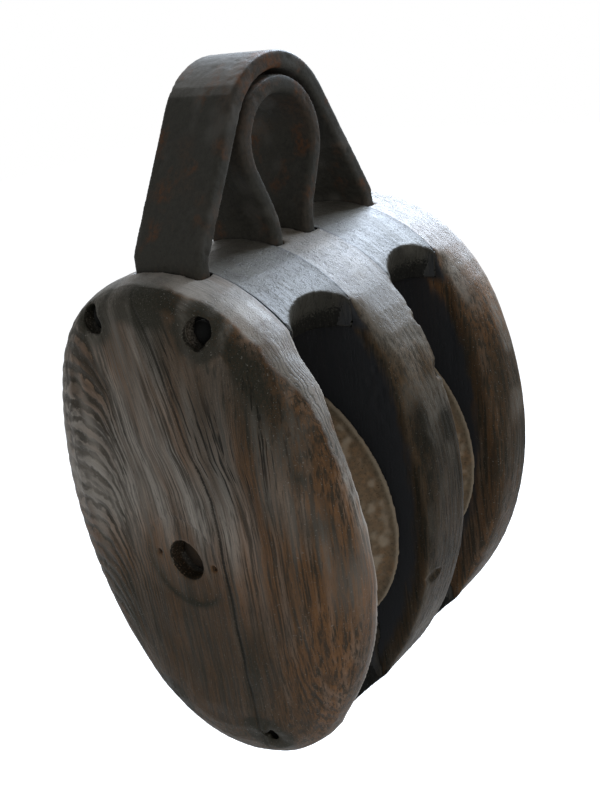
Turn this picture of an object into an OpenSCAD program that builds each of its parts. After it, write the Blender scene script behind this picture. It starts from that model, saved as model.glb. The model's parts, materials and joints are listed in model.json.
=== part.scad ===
// Double wooden block with iron straps let in between its layers.
// Origin: the crown seat inside the eye. +Z is up, +Y runs along the sheave pin.

/* [Sheaves] */
// Diameter of each sheave over its flanges
sheave_d = 152; // [130:1:165]
// Width of the sheave rim
sheave_rim_w = 31.8; // [28:0.1:38]
// Radius of the rope groove in the rim
groove_r = 14; // [11:0.5:15]
// Depth of the rope groove below the flanges
groove_depth = 11; // [8:0.5:12]
// Radial depth of the rim, from flange to underside
rim_depth = 20; // [17:0.5:24]
// Thickness of the sheave web
web_t = 10; // [7:0.5:14]
// Length of the sheave hub along the pin
hub_w = 41; // [40:0.5:50]
// Diameter of the sheave hub
hub_d = 50; // [44:1:56]
// Number of cored holes in the web
core_count = 6; // [4:1:7]
// Diameter of each cored hole
core_d = 17; // [12:0.5:20]
// Clearance between the hub and each side of its swallow
hub_gap = 0.85; // [0.5:0.05:1.5]

/* [Pin and bushes] */
// Diameter of the sheave pin
pin_d = 19.05; // [16:0.05:24]
// Depth of each pin end below the cheek face
pin_recess = 9; // [4:0.5:12]
// Bevel on the ends of the pin
pin_bevel = 1.2; // [0.5:0.1:2]
// Outside diameter of the bronze bushes
bush_d = 31.5; // [28:0.5:38]
// Radial running clearance of a bush on the pin
run_gap = 0.05; // [0.02:0.01:0.1]
// Radial clearance of the pin where it stands still
pin_gap = 0.2; // [0.1:0.05:0.4]

/* [Shell] */
// Diameter of the rope that the block is cut for
rope_d = 28; // [24:1:30]
// Spare room between the rope and the head fillers
rope_gap = 7; // [4:0.5:9]
// Clearance between the sheaves and the tail fillers
tail_gap = 6; // [3:0.5:9]
// Thickness of the head fillers at the middle
head_t = 33.4; // [30:0.1:40]
// Radius of the arched underside of the head fillers
head_arc_r = 400; // [300:10:600]
// Thickness of the tail fillers at the middle
tail_t = 38.6; // [34:0.1:44]
// How far the shell stands out beyond the sheaves on each side
side_cover = 14.5; // [10:0.5:18]
// Height of the widest point of the shell above the pin
widest_up = 10.5; // [4:0.5:16]
// Radius of the shell's sides above the widest point
side_r_up = 190; // [175:1:230]
// Radius of the shell's sides below the widest point
side_r_low = 175; // [165:1:220]
// Thickness of each cheek
cheek_t = 28.8; // [25:0.1:36]
// Thickness of the partition between the sheaves
partition_t = 32.6; // [28:0.1:40]
// Half width of the head fillers where they meet the layers
head_half_w = 59.5; // [54:0.5:62]
// Half width of the tail fillers where they meet the layers
tail_half_w = 55; // [50:0.5:60]
// How much further the fillers are scooped out in the middle
scoop_depth = 12; // [7:0.1:13]
// Flare of the scoops towards the outside, in degrees
scoop_flare = 12; // [6:1:18]

/* [Cheek faces] */
// Depth of the doming round the front face
front_edge_d = 22.5; // [12:0.5:23]
// Width of that doming at the crown
front_edge_top = 9; // [6:0.5:14]
// Width of that doming at the sides
front_edge_side = 38; // [24:0.5:40]
// Width of that doming at the tail
front_edge_tail = 39; // [30:0.5:44]
// How much higher the flat of the front face is widest than the shell
front_edge_rise = 20; // [10:0.5:22]
// Depth of the rounding round the back face
back_edge_d = 5; // [3:0.5:12]
// Width of that rounding
back_edge_w = 7; // [4:0.5:12]
// Radius of the round mark left by each lost cover plate
mark_r = 23.5; // [20:0.5:28]
// Depth of that mark
mark_depth = 0.7; // [0.3:0.1:1.5]
// Diameter of the nail holes in that mark
nail_d = 3; // [2:0.1:4]
// Depth of the nail holes
nail_depth = 14; // [8:0.5:18]
// Distance of each nail hole from the pin's axis
nail_x = 17.4; // [15:0.1:19]

/* [Straps] */
// Width of the iron bar of both straps
strap_w = 38.8; // [32:0.2:42]
// Thickness of that bar
strap_t = 8; // [6:0.5:10]
// Clearance of the straps in their pockets
strap_gap = 0.2; // [0.1:0.05:0.5]
// Length of the straps below the pin's axis
strap_tail = 34; // [30:0.5:44]
// Height of the middle of the eye above the crown
eye_centre_up = 40.7; // [38:0.1:52]
// Inside radius of the eye in the inner strap
eye_r = 20.9; // [18:0.1:22]
// Bend radius where the eye's neck opens out, at the bar's middle
neck_bend_r = 30; // [24:0.5:34]
// Clear height between the eye and the outer strap
arch_gap = 2.2; // [1:0.1:5]
// Inside radius at the top of the outer strap
arch_r = 30; // [27:0.5:34]
// Bend radius of the outer strap at the crown, at the bar's middle
arch_bend_r = 10; // [7:0.5:14]
// Rounding along the edges of the outer strap
outer_round = 1.6; // [0.8:0.1:2.5]
// Rounding along the edges of the inner strap
inner_round = 2.2; // [1.5:0.1:2.9]
// Clear height of both bends above the crown
bend_up = 0.6; // [0.3:0.1:2]

/* [Rivets] */
// Diameter of the through rivets
rivet_d = 10; // [8:0.5:11]
// Radial clearance of the rivets in their holes
rivet_gap = 0.2; // [0.1:0.05:0.5]
// Diameter of the sinks for the rivet heads
sink_d = 14.5; // [13:0.5:17]
// Depth of the sinks at the head below the cheek's flat
sink_depth = 10.5; // [8:0.5:11.5]
// How much deeper the sinks at the tail go
tail_sink_more = 5; // [4:0.5:8]
// How far the tail rivets stand above the middle of the tail fillers
tail_rivet_up = 3; // [0:0.5:5]
// Wood left between a sink and the strap's pocket
sink_wall = 3.8; // [2:0.2:5]
// Radial clearance of the rings in the sinks
ring_gap = 0.5; // [0.3:0.1:1]
// Thickness of the clench rings
ring_t = 2.5; // [1.5:0.1:3]
// Height of the hammered rivet heads
head_h = 3; // [2:0.1:3.4]
// How far a hammered head spreads beyond its rivet
head_lip = 1.2; // [0.8:0.1:1.6]

/* [Hidden] */

wood_brown = "#5a4a3c";
wood_grey = "#57524b";
wood_dark = "#463c33";
iron_dark = "#3b3936";
iron_rust = "#5f5348";
bronze = "#7d6238";

over = 1;           // how far a cutter runs past the face that it cuts
slice = 0.01;       // thickness of the slices that a rounded edge is hulled from
arc_steps = 9;      // points on each of the shell's eight arcs
edge_steps = 5;     // slices in a cheek's rounded edge
bend_step = 7.5;    // degrees between the sections of a bent strap
corner_steps = 3;   // points on each rounded corner of a strap's section
round_fn = 96;

swallow_w = hub_w + 2 * hub_gap;
joint_in = partition_t / 2;
joint_out = joint_in + swallow_w;
face_out = joint_out + cheek_t;
sheave_y = joint_in + swallow_w / 2;

head_under_z = sheave_d / 2 - groove_depth + rope_d + rope_gap;
tail_under_r = sheave_d / 2 + tail_gap;
crown = head_under_z + head_t;
foot = tail_under_r + tail_t;
eye_up = crown + eye_centre_up + eye_r;
half_w = sheave_d / 2 + side_cover;

rivet_x = strap_w / 2 + strap_gap + sink_wall + sink_d / 2;
core_at = (hub_d / 2 + sheave_d / 2 - rim_depth) / 2;
pin_half = face_out - pin_recess;
head_floor = face_out - sink_depth;
tail_floor = head_floor - tail_sink_more;

// Radius of the arc that closes an egg of height h onto its side arc
function cap_r(h, half, side_r) =
    (pow(side_r, 2) - pow(side_r - half, 2) - pow(h, 2)) / (2 * (side_r - h));

// Points from the widest point round to the end of an egg of height h
function quarter(h, half, side_r) =
    let (r = cap_r(h, half, side_r), a = atan2(h - r, side_r - half))
    concat(
        [for (i = [0 : arc_steps - 1]) let (t = a * i / arc_steps)
            [side_r * cos(t) - side_r + half, side_r * sin(t)]],
        [for (i = [0 : arc_steps]) let (t = a + (90 - a) * i / arc_steps)
            [r * cos(t), h - r + r * sin(t)]]
    );

// The shell's outline, drawn in by its own amount at the top, sides and foot
function egg(in_top = 0, in_side = 0, in_foot = 0, rise = 0) =
    let (
        z = widest_up + rise,
        up = quarter(crown - z - in_top, half_w - in_side, side_r_up),
        low = quarter(foot + z - in_foot, half_w - in_side, side_r_low),
        last = 2 * arc_steps
    )
    concat(
        [for (i = [0 : last]) [up[i][0], z + up[i][1]]],
        [for (i = [1 : last]) [-up[last - i][0], z + up[last - i][1]]],
        [for (i = [1 : last]) [-low[i][0], z - low[i][1]]],
        [for (i = [1 : last - 1]) [low[last - i][0], z - low[last - i][1]]]
    );

// Height of the outline's end arc above or below the widest point, at x
function cap_z(h, side_r, x) =
    let (r = cap_r(h, half_w, side_r)) h - r + sqrt(pow(r, 2) - pow(x, 2));

head_rivet_z = (widest_up + cap_z(crown - widest_up, side_r_up, rivet_x)
    + head_under_z - head_arc_r + sqrt(pow(head_arc_r, 2) - pow(rivet_x, 2))) / 2;
tail_rivet_z = (widest_up - cap_z(foot + widest_up, side_r_low, rivet_x)
    - sqrt(pow(tail_under_r, 2) - pow(rivet_x, 2))) / 2 + tail_rivet_up;

// Moves a shape drawn about the pin's axis to the part's own frame
module from_pin() {
    translate([0, 0, -eye_up]) children();
}

// Turns a flat X-Z outline into a slab between two places along Y
module slab(y0, y1) {
    translate([0, y1, 0]) rotate([90, 0, 0]) linear_extrude(height = y1 - y0) children();
}

// A cylinder along Y between two places
module rod(d, y0, y1, fn = round_fn) {
    translate([0, y1, 0]) rotate([90, 0, 0]) cylinder(d = d, h = y1 - y0, $fn = fn);
}

// Places children at the two rivets of one height
module at_pair(z) {
    for (side = [-1, 1]) translate([side * rivet_x, 0, z]) children();
}

// Holes for the pin and the rivets through a layer
module layer_bores(y0, y1) {
    rod(pin_d + 2 * pin_gap, y0 - over, y1 + over);
    for (z = [head_rivet_z, tail_rivet_z])
        at_pair(z) rod(rivet_d + 2 * rivet_gap, y0 - over, y1 + over, 48);
}

// Pocket for one strap leg, open at the crown
module strap_pocket(y0, y1) {
    pocket_w = strap_w + 2 * strap_gap;
    slab(y0, y1) {
        translate([-pocket_w / 2, strap_w / 2 - strap_tail])
            square([pocket_w, strap_tail - strap_w / 2 + crown + over]);
        translate([0, strap_w / 2 - strap_tail]) circle(d = pocket_w, $fn = round_fn);
    }
}

// One cheek with its outer face towards -Y, domed or rounded by its own sizes
module cheek(edge_d, edge_top, edge_side, edge_tail, rise) {
    difference() {
        hull() {
            slab(-joint_out - slice, -joint_out) polygon(egg());
            for (i = [0 : edge_steps]) {
                t = 90 * i / edge_steps;
                inset = 1 - cos(t);
                translate([0, -face_out + edge_d * (1 - sin(t)), 0])
                    slab(0, slice) polygon(egg(
                        edge_top * inset, edge_side * inset, edge_tail * inset, rise * inset));
            }
        }
        layer_bores(-face_out, -joint_out);
        strap_pocket(-joint_out - strap_t - strap_gap, -joint_out + over);
        at_pair(head_rivet_z) rod(sink_d, -face_out - over, -head_floor, 48);
        at_pair(tail_rivet_z) rod(sink_d, -face_out - over, -tail_floor, 48);
        rod(2 * mark_r, -face_out - over, -face_out + mark_depth);
        for (side = [-1, 1])
            translate([side * nail_x, 0, 0])
                rod(nail_d, -face_out - over, -face_out + nail_depth, 24);
    }
}

// The scoop that leads the rope in at one end of a filler, as a flared cutter
module scoop(end_x, end_z) {
    chord = swallow_w / 2;
    r = (pow(chord, 2) + pow(scoop_depth, 2)) / (2 * scoop_depth);
    reach = 60;
    lean = atan2(end_x, end_z);
    for (side = [-1, 1])
        translate([side * end_x, 0, end_z])
            rotate([0, side * lean, 0])
                translate([side * (r - scoop_depth), 0, -reach])
                    cylinder(r1 = r - reach * tan(scoop_flare), r2 = r + reach * tan(scoop_flare),
                        h = 2 * reach, $fn = round_fn);
}

// A filler between two layers, over or under the sheave, its hollow side an arc
module filler(arc_z, arc_r, end_half_w, end_z, up) {
    difference() {
        slab(-swallow_w / 2, swallow_w / 2)
            difference() {
                intersection() {
                    polygon(egg());
                    translate([-end_half_w, up ? 0 : -2 * foot])
                        square([2 * end_half_w, up ? 2 * crown : 2 * foot]);
                }
                translate([0, arc_z]) circle(r = arc_r, $fn = 144);
            }
        if (up) scoop(end_half_w, end_z);
        else mirror([0, 0, 1]) scoop(end_half_w, end_z);
        at_pair(up ? head_rivet_z : tail_rivet_z)
            rod(rivet_d + 2 * rivet_gap, -swallow_w / 2 - over, swallow_w / 2 + over, 48);
    }
}

module head_filler() {
    filler(head_under_z - head_arc_r, head_arc_r, head_half_w,
        widest_up + cap_z(crown - widest_up, side_r_up, head_half_w), true);
}

module tail_filler() {
    filler(0, tail_under_r, tail_half_w,
        cap_z(foot + widest_up, side_r_low, tail_half_w) - widest_up, false);
}

// Section of a strap: a rounded rectangle, x across the bar and n through it
function bar_section(r) =
    [for (corner = [0 : 3], i = [0 : corner_steps - 1])
        let (
            t = 90 * corner + 90 * i / (corner_steps - 1),
            cx = (corner == 0 || corner == 3 ? 1 : -1) * (strap_w / 2 - r),
            cn = (corner < 2 ? 1 : -1) * (strap_t / 2 - r)
        )
        [cx + r * cos(t), cn + r * sin(t)]];

// Stations round an arc: [y, z, heading], heading in degrees from +Z towards -Y
function arc(cy, cz, r, from, to) =
    let (n = max(2, ceil(abs(to - from) / bend_step)))
    [for (i = [0 : n]) let (h = from + (to - from) * i / n)
        [cy + r * cos(h), cz + r * sin(h), h]];

// The outer strap's path, up the +Y leg and down the other
arch_mid_r = arch_r + strap_t / 2;
arch_z = eye_up + strap_t + arch_gap - arch_r;
outer_leg_y = joint_out + strap_t / 2;
bend_z = crown + bend_up;
arch_lean = let (a = outer_leg_y - arch_bend_r, h = arch_z - bend_z)
    atan2(a, h) + asin((arch_bend_r - arch_mid_r) / norm([a, h]));
outer_path = concat(
    [[outer_leg_y, -strap_tail, 0]],
    arc(outer_leg_y - arch_bend_r, bend_z, arch_bend_r, 0, arch_lean),
    arc(0, arch_z, arch_mid_r, arch_lean, 180 - arch_lean),
    arc(arch_bend_r - outer_leg_y, bend_z, arch_bend_r, 180 - arch_lean, 180),
    [[-outer_leg_y, -strap_tail, 180]]
);

// The inner strap's path: its neck opens out into the round eye
eye_mid_r = eye_r + strap_t / 2;
eye_z = eye_up - eye_r;
inner_leg_y = joint_in - strap_t / 2;
eye_lean = let (a = inner_leg_y + neck_bend_r, h = eye_z - bend_z)
    atan2(h, a) - acos((eye_mid_r + neck_bend_r) / norm([a, h]));
inner_path = concat(
    [[inner_leg_y, -strap_tail, 0]],
    arc(inner_leg_y + neck_bend_r, bend_z, -neck_bend_r, 0, -eye_lean),
    arc(0, eye_z, eye_mid_r, -eye_lean, 180 + eye_lean),
    arc(-inner_leg_y - neck_bend_r, bend_z, -neck_bend_r, 180 + eye_lean, 180),
    [[-inner_leg_y, -strap_tail, 180]]
);

// A bar of the rounded section bent along a path
module bent_bar(path, r) {
    section = bar_section(r);
    m = len(section);
    n = len(path);
    points = [for (p = path, s = section)
        [s[0], p[0] + s[1] * cos(p[2]), p[1] + s[1] * sin(p[2])]];
    sides = [for (j = [0 : n - 2], i = [0 : m - 1]) let (k = (i + 1) % m)
        each [[j * m + i, (j + 1) * m + i, (j + 1) * m + k], [j * m + i, (j + 1) * m + k, j * m + k]]];
    ends = [[for (i = [0 : m - 1]) i], [for (i = [m - 1 : -1 : 0]) (n - 1) * m + i]];
    polyhedron(points = points, faces = concat(sides, ends), convexity = 6);
}

// A strap with its leg ends rounded and its pin holes bored
module strap(path, r) {
    difference() {
        intersection() {
            bent_bar(path, r);
            slab(-face_out, face_out) {
                translate([-strap_w, strap_w / 2 - strap_tail]) square([2 * strap_w, 2 * eye_up]);
                translate([0, strap_w / 2 - strap_tail]) circle(d = strap_w, $fn = round_fn);
            }
        }
        rod(pin_d + 2 * pin_gap, -face_out, face_out);
    }
}

// One grooved sheave about the Y axis
module sheave() {
    rim_r = sheave_d / 2;
    difference() {
        rotate([90, 0, 0]) rotate_extrude($fn = 144) {
            difference() {
                union() {
                    translate([bush_d / 2 + run_gap, -hub_w / 2])
                        square([(hub_d - bush_d) / 2 - run_gap, hub_w]);
                    translate([bush_d / 2 + run_gap, -web_t / 2])
                        square([rim_r - bush_d / 2 - groove_depth, web_t]);
                    translate([rim_r - rim_depth, -sheave_rim_w / 2]) square([rim_depth, sheave_rim_w]);
                }
                translate([rim_r - groove_depth + groove_r, 0]) circle(r = groove_r, $fn = round_fn);
            }
        }
        for (i = [0 : core_count - 1])
            rotate([0, 360 * i / core_count, 0])
                translate([core_at, 0, 0]) rod(core_d, -web_t, web_t, 48);
    }
}

// One bronze bush about the Y axis
module bush() {
    difference() {
        rod(bush_d, -hub_w / 2, hub_w / 2);
        rod(pin_d + 2 * run_gap, -hub_w / 2 - over, hub_w / 2 + over);
    }
}

// One rivet with both heads hammered down over its rings
module rivet(floor_y) {
    head_at = floor_y + ring_t;
    head_r = rivet_d / 2 + head_lip;
    dome_r = (pow(head_r, 2) + pow(head_h, 2)) / (2 * head_h);
    rotate([90, 0, 0]) {
        cylinder(d = rivet_d, h = 2 * head_at, center = true, $fn = 48);
        for (side = [0, 1])
            mirror([0, 0, side]) translate([0, 0, head_at]) rotate_extrude($fn = 48)
                intersection() {
                    translate([0, head_h - dome_r]) circle(r = dome_r, $fn = 144);
                    square([head_r, head_h]);
                }
    }
}

// One clench ring on the floor of its sink on the -Y side
module clench_ring(floor_y) {
    difference() {
        rod(sink_d - 2 * ring_gap, -floor_y - ring_t, -floor_y, 48);
        rod(rivet_d + 2 * rivet_gap, -face_out, -floor_y + over, 48);
    }
}

module clench_rings() {
    at_pair(head_rivet_z) clench_ring(head_floor);
    at_pair(tail_rivet_z) clench_ring(tail_floor);
}

module cheek_front() {
    color(wood_brown) from_pin()
        cheek(front_edge_d, front_edge_top, front_edge_side, front_edge_tail, front_edge_rise);
}

module cheek_back() {
    color(wood_brown) from_pin()
        rotate([0, 0, 180]) cheek(back_edge_d, back_edge_w, back_edge_w, back_edge_w, 0);
}

module partition() {
    color(wood_grey) from_pin() difference() {
        slab(-joint_in, joint_in) polygon(egg());
        layer_bores(-joint_in, joint_in);
        for (side = [0, 180])
            rotate([0, 0, side]) strap_pocket(joint_in - strap_t - strap_gap, joint_in + over);
    }
}

module head_filler_front() {
    color(wood_grey) from_pin() translate([0, -sheave_y, 0]) head_filler();
}

module head_filler_back() {
    color(wood_grey) from_pin() translate([0, sheave_y, 0]) head_filler();
}

module tail_filler_front() {
    color(wood_dark) from_pin() translate([0, -sheave_y, 0]) tail_filler();
}

module tail_filler_back() {
    color(wood_dark) from_pin() translate([0, sheave_y, 0]) tail_filler();
}

module outer_strap() {
    color(iron_dark) from_pin() strap(outer_path, outer_round);
}

module inner_strap() {
    color(iron_dark) from_pin() strap(inner_path, inner_round);
}

module sheave_pin() {
    color(iron_rust) from_pin() rotate([90, 0, 0]) {
        cylinder(d = pin_d, h = 2 * (pin_half - pin_bevel), center = true, $fn = round_fn);
        for (side = [0, 1])
            mirror([0, 0, side]) translate([0, 0, pin_half - pin_bevel])
                cylinder(d1 = pin_d, d2 = pin_d - 2 * pin_bevel, h = pin_bevel, $fn = round_fn);
    }
}

module sheave_front() {
    color(iron_rust) from_pin() translate([0, -sheave_y, 0]) sheave();
}

module sheave_back() {
    color(iron_rust) from_pin() translate([0, sheave_y, 0]) sheave();
}

module bush_front() {
    color(bronze) from_pin() translate([0, -sheave_y, 0]) bush();
}

module bush_back() {
    color(bronze) from_pin() translate([0, sheave_y, 0]) bush();
}

module head_rivet_left() {
    color(iron_dark) from_pin() translate([-rivet_x, 0, head_rivet_z]) rivet(head_floor);
}

module head_rivet_right() {
    color(iron_dark) from_pin() translate([rivet_x, 0, head_rivet_z]) rivet(head_floor);
}

module tail_rivet_left() {
    color(iron_dark) from_pin() translate([-rivet_x, 0, tail_rivet_z]) rivet(tail_floor);
}

module tail_rivet_right() {
    color(iron_dark) from_pin() translate([rivet_x, 0, tail_rivet_z]) rivet(tail_floor);
}

module clench_rings_front() {
    color(iron_dark) from_pin() clench_rings();
}

module clench_rings_back() {
    color(iron_dark) from_pin() mirror([0, 1, 0]) clench_rings();
}

cheek_front();
cheek_back();
partition();
head_filler_front();
head_filler_back();
tail_filler_front();
tail_filler_back();
outer_strap();
inner_strap();
sheave_pin();
sheave_front();
sheave_back();
bush_front();
bush_back();
head_rivet_left();
head_rivet_right();
tail_rivet_left();
tail_rivet_right();
clench_rings_front();
clench_rings_back();
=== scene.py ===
"""Looks of a weathered double wooden block with iron straps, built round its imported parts.

Lengths are in millimetres and are measured from the sheave pin's centre, unless a name says otherwise:
x to the right, y from the front cheek to the back one, z up.
"""

import json
import math
from types import SimpleNamespace

import bmesh
import bpy
import numpy as np
from mathutils import Matrix, Vector
from mathutils.bvhtree import BVHTree


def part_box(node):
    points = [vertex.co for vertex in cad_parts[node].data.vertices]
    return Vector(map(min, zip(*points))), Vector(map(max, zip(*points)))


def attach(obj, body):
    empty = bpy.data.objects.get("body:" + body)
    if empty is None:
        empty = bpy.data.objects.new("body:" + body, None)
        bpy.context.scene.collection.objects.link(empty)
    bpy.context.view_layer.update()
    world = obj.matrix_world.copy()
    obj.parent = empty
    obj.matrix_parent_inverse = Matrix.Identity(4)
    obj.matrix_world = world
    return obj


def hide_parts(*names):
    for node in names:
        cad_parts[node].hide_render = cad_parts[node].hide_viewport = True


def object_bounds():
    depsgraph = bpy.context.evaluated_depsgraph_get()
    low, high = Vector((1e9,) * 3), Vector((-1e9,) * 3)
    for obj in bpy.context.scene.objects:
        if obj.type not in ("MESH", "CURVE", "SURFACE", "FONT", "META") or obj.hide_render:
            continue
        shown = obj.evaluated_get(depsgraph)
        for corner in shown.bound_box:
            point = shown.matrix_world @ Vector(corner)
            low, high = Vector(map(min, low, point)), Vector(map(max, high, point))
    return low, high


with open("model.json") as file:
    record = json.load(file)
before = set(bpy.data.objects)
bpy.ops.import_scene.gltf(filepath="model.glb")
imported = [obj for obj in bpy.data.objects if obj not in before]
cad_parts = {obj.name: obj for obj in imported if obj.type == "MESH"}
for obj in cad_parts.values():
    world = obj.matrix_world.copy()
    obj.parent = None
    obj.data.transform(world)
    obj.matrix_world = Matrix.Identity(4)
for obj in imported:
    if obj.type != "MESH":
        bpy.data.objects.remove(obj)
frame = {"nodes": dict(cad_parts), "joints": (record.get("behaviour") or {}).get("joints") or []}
cad_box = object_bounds()

MM = 0.001
PIN = np.array(frame["joints"][0]["pos_m"]) / MM

# The camera, fitted to the photograph. Its place is measured from the frame's origin
CAMERA_PLACE = (295.6, -344.0, 39.4)
CAMERA_TOWARDS = (-0.5915, 0.7096, -0.3829)
CAMERA_RIGHT = (0.794, 0.595, -0.123)
CAMERA_LENS = 43.97
CAMERA_SENSOR = 36


def make_camera():
    camera = bpy.data.objects.new("camera", bpy.data.cameras.new("camera"))
    bpy.context.scene.collection.objects.link(camera)
    bpy.context.scene.camera = camera
    camera.data.sensor_width = CAMERA_SENSOR
    camera.data.lens = CAMERA_LENS
    back = -Vector(CAMERA_TOWARDS).normalized()
    right = Vector(CAMERA_RIGHT)
    right = (right - right.dot(back) * back).normalized()
    up = back.cross(right)
    turn = Matrix((right, up, back)).transposed().to_4x4()
    camera.matrix_world = Matrix.Translation(Vector(CAMERA_PLACE) * MM) @ turn
    camera.data.clip_start = 0.01


make_camera()


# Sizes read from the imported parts
def middle(node, axis):
    low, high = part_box(node)
    return (low[axis] + high[axis]) / 2 / MM


FACE_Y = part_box("cheek_front")[0][1] / MM
JOINT_OUT = -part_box("cheek_front")[1][1] / MM
JOINT_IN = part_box("partition")[1][1] / MM
SHEAVE_Y = middle("sheave_back", 1)
SHEAVE_R = (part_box("sheave_back")[1][0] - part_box("sheave_back")[0][0]) / 2 / MM
CROWN_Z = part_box("partition")[1][2] / MM - PIN[2]
HALF_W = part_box("partition")[1][0] / MM
JOINT_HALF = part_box("head_filler_front")[1][0] / MM - 1.5
RIVET_PLACES = [
    (side * middle("head_rivet_right", 0), middle(name, 2) - PIN[2])
    for name in ("head_rivet_right", "tail_rivet_right")
    for side in (-1, 1)
]
SINK_R = 7.3
PIN_HOLE_R = 9.7

COARSE = 1.0


# Small helpers for node trees
def add(tree, kind, inputs=None, out=0, **settings):
    """Adds a node, sets or links its inputs, and returns one of its output sockets."""
    made = tree.nodes.new("ShaderNode" + kind)
    for key, value in settings.items():
        setattr(made, key, value)
    for key, value in (inputs or {}).items():
        if isinstance(value, bpy.types.NodeSocket):
            tree.links.new(value, made.inputs[key])
        else:
            made.inputs[key].default_value = value
    return made.outputs[out]


def calc(tree, operation, a, b=0.0, clamp=False):
    return add(tree, "Math", {0: a, 1: b}, operation=operation, use_clamp=clamp)


def times(tree, a, b, clamp=False):
    return calc(tree, "MULTIPLY", a, b, clamp)


def plus(tree, a, b, clamp=False):
    return calc(tree, "ADD", a, b, clamp)


def blend(tree, share, a, b):
    """Mixes two colours."""
    return add(tree, "Mix", {0: share, 6: a, 7: b}, out=2, data_type="RGBA")


def spread(tree, value, low, high, to_low=0.0, to_high=1.0):
    """Maps low..high to to_low..to_high with soft ends."""
    inputs = {"Value": value, "From Min": low, "From Max": high, "To Min": to_low, "To Max": to_high}
    return add(tree, "MapRange", inputs, interpolation_type="SMOOTHSTEP")


def attribute(tree, name):
    return add(tree, "Attribute", out=2, attribute_name=name)


def in_mm(tree, scale):
    """The row frame's coordinates in millimetres, times a scale along each axis."""
    place = add(tree, "TexCoord", out=3)
    return add(tree, "Mapping", {0: place, 3: tuple(s / MM for s in scale)})


def cloud(tree, scale, detail=3.0, rough=0.55):
    """Noise from 0 to 1 whose lumps are 1 / scale millimetres across."""
    inputs = {"Vector": in_mm(tree, scale), "Scale": 1.0, "Detail": detail, "Roughness": rough}
    return add(tree, "TexNoise", inputs)


def colour(red, green, blue):
    """A colour given as it shows on a screen, from 0 to 255, as linear light."""
    def linear(c):
        c = c / 255
        return c / 12.92 if c <= 0.04045 else ((c + 0.055) / 1.055) ** 2.4
    return (linear(red), linear(green), linear(blue), 1.0)


def shade(c, factor):
    """A colour made this many times as light."""
    return tuple(min(1.0, factor * v) for v in c[:3]) + (1.0,)


def new_material(name):
    material = bpy.data.materials.new(name)
    material.use_nodes = True
    return material, material.node_tree, material.node_tree.nodes["Principled BSDF"]


def bump_onto(tree, shader, height, strength):
    """Lets a height from about 0 to 1 stand for BUMP_HEIGHT of relief."""
    bump = add(tree, "Bump", {"Strength": strength, "Distance": BUMP_HEIGHT * MM, "Height": height})
    tree.links.new(bump, shader.inputs["Normal"])


# Materials. A shine is the specular level where the piece is dull and where its top is polished
WOOD_SHINE = (0.05, 0.54)
IRON_POLISHED = 0.7
BUMP_HEIGHT = 0.3
# How many times as light as their base the wood's tones are
BLEACHED_GREY = 1.5
BLEACHED_BROWN = 1.3
# Chafed wear, also used for a painted highlight on an edge
CHAFED = 1.7
DUSTY = 1.8
# The tone in cracks, and the painted shade in holes and at the foot of the scoops
IN_A_CRACK = 0.3
# Painted shade on the walls deep inside the swallows, where little light reaches
DEEP = colour(52, 53, 55)


def grain_noise(tree, across, along, detail):
    """Noise drawn out along the grain, with this many lumps per millimetre across and along it."""
    place = add(tree, "SeparateXYZ", {0: in_mm(tree, (across, across, along))}, out=0).node
    flow = times(tree, attribute(tree, "flow"), across)
    drawn = add(tree, "CombineXYZ", {0: flow, 1: place.outputs[1], 2: place.outputs[2]})
    return add(tree, "TexNoise", {"Vector": drawn, "Scale": 1.0, "Detail": detail, "Roughness": 0.6})


def wood_patterns(tree):
    """The patterns that the wood's colour and relief share. Most run from 0 to 1."""
    made = SimpleNamespace()
    made.fibre = grain_noise(tree, 0.75, 0.03, 4.0)
    made.streak = grain_noise(tree, 0.13, 0.012, 3.0)
    made.speck = cloud(tree, (1.2, 1.2, 1.2), detail=3)
    made.skin = cloud(tree, (0.05, 1.3, 0.05), detail=3, rough=0.6)
    made.calm = spread(tree, attribute(tree, "polish"), 0.0, 1.0, 1.0, 0.3)

    # Rings, with finer ones beside the swallows
    wobble = cloud(tree, (0.13, 0.13, 0.10), detail=3)
    bent = plus(tree, attribute(tree, "ring"), spread(tree, wobble, 0.25, 0.75, -0.26, 0.26))
    wave = calc(tree, "COSINE", times(tree, bent, 2 * math.pi))
    fine_wave = calc(tree, "COSINE", times(tree, bent, 4 * math.pi))
    made.lines = times(tree, spread(tree, wave, -0.2, 0.85), attribute(tree, "figure"))
    made.fine_lines = times(tree, spread(tree, fine_wave, 0.1, 0.9), attribute(tree, "fine"))

    # Short dark pores, most of them along the rings
    dash = grain_noise(tree, 1.5, 0.12, 2.0)
    along_rings = spread(tree, wave, -0.6, 0.7, 0.35, 1.0)
    made.pores = times(tree, spread(tree, dash, 0.54, 0.66), along_rings)

    # Checks, and the long shake with its ragged edges
    split = grain_noise(tree, 0.5, 0.022, 3.0)
    check = times(tree, spread(tree, split, 0.575, 0.62), attribute(tree, "checked"), clamp=True)
    ragged = plus(tree, attribute(tree, "shake"), spread(tree, made.speck, 0.3, 0.7, -0.3, 0.3))
    from_shake = calc(tree, "ABSOLUTE", ragged)
    shake = times(tree, spread(tree, from_shake, 1.0, 0.45), attribute(tree, "split"))
    made.crack = calc(tree, "MAXIMUM", check, shake)

    # Dirt, and the painted shade that the same attribute carries
    speckled = spread(tree, made.speck, 0.35, 0.7, -0.1, 0.1)
    made.soiled = plus(tree, attribute(tree, "grime"), speckled, clamp=True)
    return made


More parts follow.
